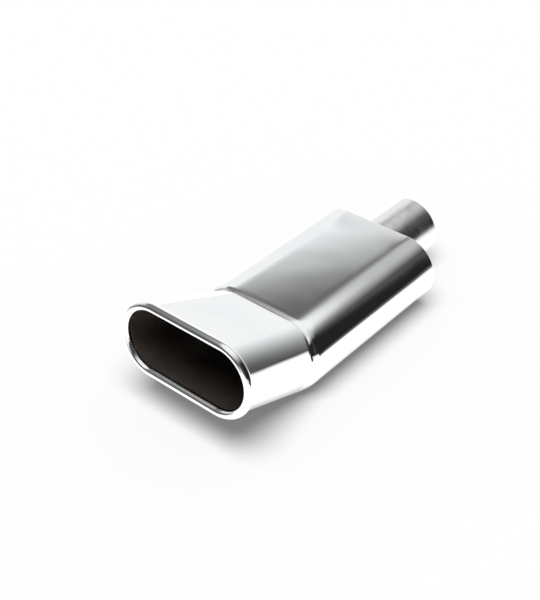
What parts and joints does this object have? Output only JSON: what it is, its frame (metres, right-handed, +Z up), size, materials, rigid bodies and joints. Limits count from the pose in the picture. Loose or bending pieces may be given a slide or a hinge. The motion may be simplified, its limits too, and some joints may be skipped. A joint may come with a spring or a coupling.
{
  "type": "exhaust tip",
  "caption": "Flat-oval exhaust tip: a level body with a round inlet pipe behind and a mouth tube that rises to a wide rolled lip.",
  "frame": {"origin": "centre of the inlet pipe's open end, on the pipe's axis", "axes": "+Y out of the inlet along its axis, +Z up from the flat underside, X across the width; the mouth is at the -Y end and rises"},
  "size_m": [0.124, 0.2904, 0.087],
  "materials": {
    "polished_sheet": "mirror-polished stainless steel",
    "pipe_stock": "lightly polished stainless tube",
    "plate_stock": "plain rolled stainless plate",
    "weld_metal": "brushed weld metal, slightly tinted by heat"
  },
  "bodies": {
    "root": {"outer_shell": "polished_sheet", "mouth_tube": "polished_sheet", "rear_plate": "plate_stock", "inlet_pipe": "pipe_stock", "rim_weld": "weld_metal", "pipe_weld": "weld_metal"}
  },
  "joints": []
}
